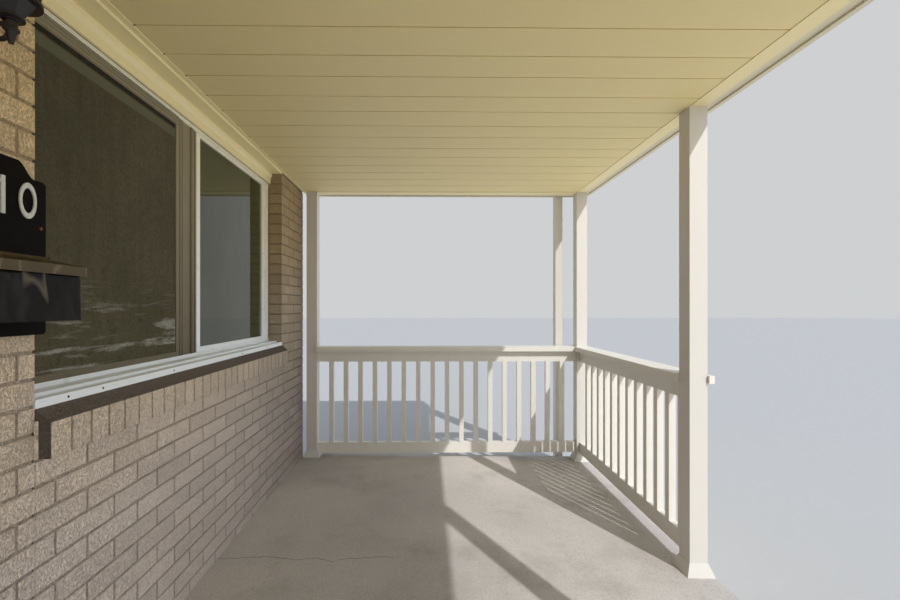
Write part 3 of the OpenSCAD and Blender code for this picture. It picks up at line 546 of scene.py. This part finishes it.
def brick_sill():
    """Bricks on edge: taupe fronts under a dark sloping top."""
    x0, y0, z0, x1, y1, z1 = box_of("brick_sill")
    front_top = z1 - SILL_FALL
    under = front_top - SILL_SKIN

    def ring(x, cut):
        """The front of a brick at a place along the sill."""
        front, back, low, high = y0 + cut, BRICK_FACE + SILL_REACH, z0 + SILL_BED + cut, under - cut
        return [(x, front, low), (x, back, low), (x, back, high), (x, front, high)]

    shape = Shape()
    front, edge = y0 + SILL_RECESS, SILL_EDGE
    mortar = [(front, z0), (y1, z0), (y1, z1 - 0.001), (BRICK_FACE, z1 - 0.002), (front, front_top - 0.002)]
    shape.along_x(mortar, x0 + 0.006, x1 - 0.001, -1.0)
    for a, b in spans(x0 + SILL_RECESS, x1, SILL_BRICK_AT, SILL_BRICK):
        shape.loft([ring(a, edge), ring(a + edge, 0), ring(b - edge, 0), ring(b, edge)], RNG.random())
    shape.along_x([(y0, under), (y1, under), (y1, z1), (BRICK_FACE, z1), (y0, front_top)], x0, x1, slot=1)
    shape.block(x0, y0 + 0.001, z0 + 0.001, x0 + 0.0035, BRICK_FACE - 0.0005, under - 0.0005, slot=1)
    shape.piece("brick_sill_course", "sill_paint", replaces=["brick_sill"],
                materials=["painted_brick", "sill_paint"])


# Roof: its rise for each metre across, how thick it is, and how deep in it the felt lies on the deck
RISE, THICK, FELT_DOWN, FELT = 0.333, 0.060, 0.011, 0.0015
# Shingles: what shows of a row, what lies under the next, and the width, gap and stagger of the tabs
EXPOSURE, LAP, TAB, TAB_GAP, STAGGER = 0.135, 0.02, 0.305, 0.006, 0.03
RIDGE_CAP, CAP_LAP, CAP_WIDE = 0.14, 0.025, 0.14
# How deep a tab lies under the top of the solid, at its foot and at its head, and how uneven tabs are
FOOT_TOP, FOOT_UNDER, HEAD_TOP, HEAD_UNDER, TAB_UNEVEN = 0.0015, 0.0095, 0.0075, 0.0105, 0.001
# How deep the front and the back of a cap lie, and how thick it is at its side and at the ridge
CAP_FRONT, CAP_BACK, CAP_THIN, CAP_THICK = 0.0005, 0.0065, 0.003, 0.004
# A tab or a cap shorter than this is left out, and a last gap up to the next is closed
SHORT_TAB, LAST_GAP = 0.02, 0.03


def roof_tabs(shape, at, run, y0, y1):
    """Rows of shingle tabs from the eave up, each row over the one below it."""
    for row in range(int(run / EXPOSURE) + 1):
        low = run - row * EXPOSURE
        high = max(low - EXPOSURE - LAP, 0)
        first = y0 - (row % 2) * TAB / 2 - (row % 3) * STAGGER
        for i in range(math.ceil((y1 - first) / TAB)):
            left = first + i * TAB
            a, b = max(left, y0 + 0.001), min(left + TAB - TAB_GAP, y1)
            if b - a < SHORT_TAB:
                continue
            if y1 - b < LAST_GAP:
                b = y1
            tone = RNG.random()
            foot = [at(low, FOOT_UNDER), at(low, FOOT_TOP + RNG.uniform(0, TAB_UNEVEN))]
            shape.along_y([*foot, at(high, HEAD_TOP), at(high, HEAD_UNDER)], a, b, tone)


def ridge_caps(shape, at, y0, y1):
    """One side of the caps over the ridge, each of which dips at its back under the next."""
    for i in range(int((y1 - y0) / RIDGE_CAP) + 1):
        a = y0 + i * RIDGE_CAP
        b = min(a + RIDGE_CAP + CAP_LAP, y1)
        if b - a < SHORT_TAB:
            continue
        rings = []
        for y, top in ((a, CAP_FRONT), (b, CAP_BACK)):
            outline = [at(0, top), at(CAP_WIDE, top), at(CAP_WIDE, top + CAP_THIN), at(0, top + CAP_THICK)]
            rings.append([(x, y, z) for x, z in outline])
        shape.loft(rings, RNG.random())


def roof(end, side):
    """Shingles on dark felt over a deck, all inside the solid of the slope."""
    x0, y0, z0, x1, y1, _ = box_of(end + "_roof_slope")
    run = max(-x0, x1)

    def at(x, down):
        """A place across the slope, as far from the ridge and as deep under the top as given."""
        return (side * x, z0 + RISE * (run - x) + THICK - down)

    shape = Shape()
    deck, felt, edge = FELT_DOWN + FELT, FELT_DOWN, run - 0.003
    shape.along_y([at(0, THICK), at(run, THICK), at(run, deck), at(0, deck)], y0 + 0.002, y1, slot=1)
    shape.along_y([at(0, deck), at(edge, deck), at(edge, felt), at(0, felt)], y0 + 0.005, y1 - 0.003, 0.0)
    roof_tabs(shape, at, run, y0, y1)
    ridge_caps(shape, at, y0, y1)
    shape.piece(end + "_roof_shingles", "shingles", replaces=[end + "_roof_slope"],
                materials=["shingles", "gutter_metal"])


def siding():
    """Lapped boards over the front gable, each cut to the slope of the roof."""
    _, y0, z0, x1, y1, z1 = box_of("gable_wall")
    board, thick, lean, inside, shortest, tip = 0.102, 0.013, 0.007, 0.9995, 0.008, 0.012

    def half(z):
        """Half the width of the gable at a height."""
        return x1 * (z1 - z) / (z1 - z0)

    shape = Shape()
    shape.along_y([(-half(z0), z0), (half(z0), z0), (0, z1 - 0.0005)], y0 + thick, y1)
    for i in range(math.ceil((z1 - tip - shortest - z0) / board)):
        low = z0 + i * board
        high = min(low + board, z1 - tip)
        rings = []
        for side in (-inside, inside):
            a, b = side * half(low), side * half(high)
            rings.append([(a, y0, low), (a, y0 + thick, low), (b, y0 + thick, high), (b, y0 + lean, high)])
        shape.loft(rings, RNG.random())
    shape.piece("gable_siding", "lap_siding", replaces=["gable_wall"])


# Fittings of the window
def window_ridges():
    """Ridges along the head and the far side of the vinyl frame."""
    x0, _, _, x1, _, top = box_of("window_frame")
    foot = box_of("screen_frame")[2] + 0.002
    wide, head_relief, side_relief = 0.005, 0.004, 0.003
    shape = Shape()
    for z in (top - 0.0165, top - 0.0075):
        shape.block(x0 + 0.001, WINDOW_FACE - head_relief, z, x1 - 0.008, WINDOW_FACE, z + wide)
    for x in (x1 - 0.0555, x1 - 0.036):
        shape.block(x, WINDOW_FACE - side_relief, foot, x + wide, WINDOW_FACE, top - 0.018)
    shape.piece("window_frame_ridges", "white_vinyl")


def post_ribs():
    """Upright ribs of the middle post: three in front of its face, and two sunk into its far part."""
    x0, face, z0, _, _, z1 = box_of("window_mullion")
    wide, end = 0.003, 0.002
    shape = Shape()
    for places, front, back in (((0.006, 0.026, 0.1125), -0.0025, 0), ((0.1265, 0.144), 0.002, 0.006)):
        for place in places:
            x = x0 + place
            shape.block(x, face + front, z0 + end, x + wide, face + back, z1 - end)
    shape.piece("window_post_ribs", "bronze_frame")


def screen_ribs():
    """Ribs along the top bar of the insect screen."""
    x0, _, _, x1, _, top = box_of("screen_frame")
    wide, relief, end = 0.0025, 0.003, 0.002
    shape = Shape()
    for down in (0.006, 0.019, 0.034):
        z = top - down
        shape.block(x0 + end, WINDOW_FACE - relief, z - wide, x1 - end, WINDOW_FACE, z)
    shape.piece("screen_top_ribs", "bronze_frame")


def head_gap():
    """Strips of painted shadow in the gaps over the window frame and over the screen."""
    x0, _, _, x1, _, top = box_of("window_frame")
    screen = box_of("screen_frame")
    back = WINDOW_FACE - 0.0001
    shape = Shape()
    shape.block(x0 + 0.001, WINDOW_FACE - 0.0045, top - 0.002, x1 - 0.001, back, top - 0.0002)
    shape.block(screen[0], WINDOW_FACE - 0.0008, screen[5] + 0.0005, screen[3], back, screen[5] + 0.002)
    shape.piece("window_head_gap", "white_vinyl", materials=["drain_shadow"])


def drain_holes():
    """Round holes in the foot of the vinyl frame, drawn as thin dark discs of painted shade."""
    z = box_of("window_frame")[2] + 0.012
    radius, front, back = 0.0038, -0.0004, -0.0001
    shape = Shape()
    for x in (-0.077, 0.060, 0.458, 1.128, 1.52):
        shape.turned((x, BRICK_FACE, z), (0, 1, 0), [(front, radius), (back, radius)], 12)
    shape.piece("sill_drain_holes", "white_vinyl", materials=["drain_shadow"])


def sealing():
    """A line of caulk up the far side of the window, and mortar at the near end of the sill."""
    left, _, z0, right, _, z1 = box_of("window_frame")
    front, back = WINDOW_FACE - 0.006, WINDOW_FACE - 0.0002
    shape = Shape()
    shape.block(right - 0.007, front, z0 + 0.05, right - 0.0005, back, z1 - 0.002)
    shape.piece("window_caulk", "white_vinyl", materials=["caulk"])
    sill = box_of("brick_sill")
    x, y = left - 0.0002, BRICK_FACE - 0.0002
    shape = Shape()
    shape.loft([[(left - 0.005, y, z), (x, y, z), (x, BRICK_FACE - 0.008, z)]
                for z in (sill[2], sill[5] - SILL_FALL)], 1.0)
    shape.piece("sill_end_mortar", "painted_brick")


# Fittings of the number board, the lantern and the door
def house_number():
    """A plain one and zero in raised strokes."""
    _, face, _, x1, _, z1 = box_of("number_board")
    middle_x, middle_z, half_wide, half_high = x1 - 0.055, z1 - 0.097, 0.024, 0.046
    inner, steps = 0.70, 28
    back, front = face - 0.0005, face - 0.004
    one_x0, one_x1, flag_x0, flag_low, flag_high = x1 - 0.126, x1 - 0.116, x1 - 0.142, 0.028, 0.037
    turn = [2 * math.pi * i / steps for i in range(steps)]
    shape = Shape()
    rings = []
    for size, y in ((1, back), (1, front), (inner, front), (inner, back)):
        rings.append([(middle_x + size * half_wide * math.sin(angle), y,
                       middle_z + size * half_high * math.cos(angle)) for angle in turn])
    shape.loft(rings, around=True)
    shape.block(one_x0, front, middle_z - half_high, one_x1, back, middle_z + half_high)
    shape.block(flag_x0, front + 0.0002, middle_z + flag_low,
                one_x0 - 0.0005, back - 0.0001, middle_z + flag_high)
    shape.piece("house_number", "black_wood", materials=["digit_paint"])


def board_screws():
    """Three rusty screw heads, two at the sides of the board and one under its top."""
    x0, face, _, x1, _, z1 = box_of("number_board")
    head = [(0.0002, 0.0045), (0.0015, 0.004), (0.0022, 0.001)]
    shape = Shape()
    for x, down in ((x1 - 0.015, 0.162), (x0 + 0.015, 0.162), ((x0 + x1) / 2, 0.023)):
        shape.turned((x, face, z1 - down), (0, -1, 0), head, 14)
    shape.piece("board_screws", "black_wood", materials=["rust"])


def lantern_details():
    """The lamp inside the lantern, and the turned beads under its foot."""
    x0, y0, foot, x1, y1, _ = box_of("lantern_glass")
    x, y = (x0 + x1) / 2, (y0 + y1) / 2
    socket = [(0.0005, 0.016), (0.030, 0.016), (0.031, 0.013), (0.045, 0.013)]
    bulb = [(0, 0.012), (0.012, 0.024), (0.030, 0.029), (0.048, 0.024), (0.058, 0.010), (0.060, 0.002)]
    shape = Shape()
    shape.turned((x, y, foot), (0, 0, 1), socket, 20, slot=1)
    shape.turned((x, y, foot + socket[-1][0]), (0, 0, 1), bulb)
    shape.piece("lantern_lamp", "lantern_glass", materials=["bulb", "brass"], smooth=40)
    cup_down, cup = 0.042, [(0.0, 0.024), (0.004, 0.024), (0.007, 0.015), (0.010, 0.015)]
    bead_down, bead = 0.066, [(0.0, 0.014), (0.004, 0.015), (0.008, 0.0115)]
    shape = Shape()
    shape.turned((x, y, foot - cup_down), (0, 0, -1), cup)
    shape.turned((x, y, foot - bead_down), (0, 0, -1), bead)
    shape.piece("lantern_turnings", "black_iron", smooth=40)


def door_details():
    """A knob and a lock on the door, and three hinges in its frame."""
    x0, face, z0, x1, _, _ = box_of("front_door")
    rose = [(0, 0.032), (0.004, 0.032), (0.007, 0.026)]
    knob = [(0, 0.011), (0.022, 0.011), (0.028, 0.021), (0.040, 0.027), (0.052, 0.023), (0.056, 0.010)]
    lock = [(0, 0.017), (0.010, 0.016), (0.012, 0.012)]
    hinge = [(0, 0.004), (0.0005, 0.005), (0.0995, 0.005), (0.1, 0.004)]
    knob_x, hinge_x, hinge_y = x1 - 0.062, x0 + 0.001, face - 0.004
    shape = Shape()
    for up, grip in ((0.93, knob), (1.12, lock)):
        shape.turned((knob_x, face, z0 + up), (0, -1, 0), rose, 28)
        shape.turned((knob_x, face - rose[-1][0], z0 + up), (0, -1, 0), grip, 28)
    for up in (0.20, 1.0, 1.78):
        shape.turned((hinge_x, hinge_y, z0 + up), (0, 0, 1), hinge, 14)
    shape.piece("door_hardware", "door_paint", materials=["brass"], smooth=40)


# Fittings of the gutters and the ceiling
SPOUT_X, SPOUT_HALF = 2.5295, 0.038
STRAP, STRAP_GAP, STRAP_HIGH = 0.0011, 0.0001, 0.025
HANGERS, HANGER_AT, HANGER_PITCH, HANGER_WIDE = 5, -1.15, 0.55, 0.02
# A hanger ends this far inside the gutter's back and lip, and lies between these depths under its top
HANGER_BACK, HANGER_LIP, HANGER_TOP, HANGER_UNDER = 0.0033, 0.0032, 0.0068, 0.0085
# The ceiling's panels follow one another at a pitch, each of two boards, and seams end before its sides
SEAM_AT, PANEL, BOARD, LAST_SEAM = 0.167, 0.3305, 0.174, 2.33


def rain_goods():
    """Straps round the downspouts and hangers across the gutters."""
    _, spout_y0, _, _, spout_y1, _ = box_of("downspouts")
    gutter_x0, _, _, gutter_x1, _, gutter_top = box_of("far_gutter")
    y0, y1 = spout_y0 - STRAP_GAP, spout_y1 + STRAP_GAP
    half = SPOUT_HALF + STRAP_GAP + STRAP
    shape = Shape()
    for side in (-1, 1):
        left, right, outer = side * SPOUT_X - half, side * SPOUT_X + half, side * (SPOUT_X + half)
        for z in (0.45, 1.35, 2.2):
            top = z + STRAP_HIGH
            shape.block(left, y0 - STRAP, z, right, y0, top)
            shape.block(left, y1, z, right, y1 + STRAP, top)
            shape.block(outer - side * STRAP, y0, z, outer, y1, top)
        for i in range(HANGERS):
            y = HANGER_AT + i * HANGER_PITCH
            shape.block(side * (gutter_x0 + HANGER_BACK), y, gutter_top - HANGER_UNDER,
                        side * (gutter_x1 - HANGER_LIP), y + HANGER_WIDE, gutter_top - HANGER_TOP)
    shape.piece("gutter_straps", "gutter_metal")


def ceiling_gaps():
    """Dark blocks of painted shade in the slots where the seams of the ceiling run into the channel along
    the wall.
    """
    z = box_of("ceiling_boards")[2]
    front, back, half = BRICK_FACE - 0.031, BRICK_FACE - 0.0255, 0.003
    shape = Shape()
    for panel in range(-8, 8):
        for board in (0, BOARD):
            x = SEAM_AT + panel * PANEL + board
            if abs(x) < LAST_SEAM:
                shape.block(x - half, front, z - 0.0006, x + half, back, z + 0.003)
    shape.piece("ceiling_seam_ends", "soffit_boards", materials=["drain_shadow"])


# Stage and view
FLOOR_HALF = 60
FLOOR_LIT, FLOOR_SEEN = (0.92, 0.87, 0.75, 1), (0.46, 0.465, 0.47, 1)
SKY_SEEN, SKY_LOW, SKY_HIGH = srgb(206, 208, 210), (1.0, 0.97, 0.92, 1), (0.84, 0.93, 1.08, 1)
# The front of the sky leans along the house, and its light grows from the back to the front
SKY_LEAN, SKY_BACK, SKY_FRONT, BACK_POWER, FRONT_POWER = 0.7, 0.3, -1.15, 0.50, 1.42
# It is a little stronger at the horizon than from this height up
SKY_UP, HORIZON_POWER, UP_POWER = 0.5, 1.05, 0.90
SUN_POWER, SUN_DEGREES, SUN_COLOR, SUN_WAY = 2.8, 0.7, (1.0, 0.995, 0.985), (0.654, 0.368, -0.640)
CAMERA_X, CAMERA_FROM_WALL, CAMERA_UP = -1.3657, 1.0543, 1.2726
CAMERA_LENS, CAMERA_SHIFT, CAMERA_TURN, CAMERA_TILT = 17.296, (0.0213, 0.0085), 0.0117, 0.0006


def floor():
    """A plain floor, with one shade for the picture and a paler one for the light it throws back."""
    corners = [(FLOOR_HALF * x, FLOOR_HALF * y, 0) for x, y in ((-1, -1), (1, -1), (1, 1), (-1, 1))]
    mesh = bpy.data.meshes.new("floor")
    mesh.from_pydata(corners, [], [(0, 1, 2, 3)])
    plane = bpy.data.objects.new("floor", mesh)
    bpy.context.scene.collection.objects.link(plane)
    m = Look("floor", FLOOR_LIT, 0.9, specular=0.1)
    m.color(m.mix(m.seen(), FLOOR_LIT, FLOOR_SEEN))
    mesh.materials.append(m.mat)


def daylight():
    """A soft light that is warm and strongest from the front, and bluer from above."""
    world = bpy.data.worlds.new("studio")
    bpy.context.scene.world = world
    world.use_nodes = True
    n = Nodes(world.node_tree)
    way = n.add("ShaderNodeSeparateXYZ", n.add("ShaderNodeTexCoord").outputs["Generated"]).outputs
    ahead = n.math("MULTIPLY_ADD", way["X"], SKY_LEAN, way["Y"])
    front = n.range(ahead, SKY_BACK, SKY_FRONT, BACK_POWER, FRONT_POWER)
    band = n.range(way["Z"], 0.0, SKY_UP, HORIZON_POWER, UP_POWER)
    light = n.tree.nodes["Background"]
    n.set(light, "Color", n.mix(n.range(way["Z"], 0.08, 0.6), SKY_LOW, SKY_HIGH))
    n.set(light, "Strength", n.math("MULTIPLY", front, band))
    backdrop = n.add("ShaderNodeBackground", SKY_SEEN)
    both = n.add("ShaderNodeMixShader", n.seen(), light.outputs[0], backdrop.outputs[0])
    n.set(n.tree.nodes["World Output"], 0, both.outputs[0])


def sun():
    """The one lamp, half way up the sky in front of the near end."""
    lamp = bpy.data.lights.new("key", "SUN")
    lamp.energy = SUN_POWER
    lamp.angle = math.radians(SUN_DEGREES)
    lamp.color = SUN_COLOR
    obj = bpy.data.objects.new("key", lamp)
    obj.rotation_mode = "QUATERNION"
    obj.rotation_quaternion = Vector(SUN_WAY).to_track_quat("-Z", "Y")
    bpy.context.scene.collection.objects.link(obj)


def camera():
    """The photograph's camera, inside the porch and looking along it."""
    lens = bpy.data.cameras.new("camera")
    lens.sensor_width = 36
    lens.lens = CAMERA_LENS
    lens.shift_x, lens.shift_y = CAMERA_SHIFT
    lens.clip_start = 0.05
    lens.clip_end = 300
    obj = bpy.data.objects.new("camera", lens)
    obj.location = (CAMERA_X, BRICK_FACE - CAMERA_FROM_WALL, SLAB_TOP + CAMERA_UP)
    obj.rotation_mode = "QUATERNION"
    look = Vector((math.cos(CAMERA_TURN), -math.sin(CAMERA_TURN), CAMERA_TILT))
    obj.rotation_quaternion = look.to_track_quat("-Z", "Y")
    bpy.context.scene.collection.objects.link(obj)
    bpy.context.scene.camera = obj


brick_wall()
brick_sill()
roof("near", -1)
roof("far", 1)
siding()
window_ridges()
post_ribs()
screen_ribs()
head_gap()
drain_holes()
sealing()
house_number()
board_screws()
lantern_details()
door_details()
rain_goods()
ceiling_gaps()
floor()
daylight()
sun()
camera()
bpy.context.scene.view_settings.view_transform = "Standard"
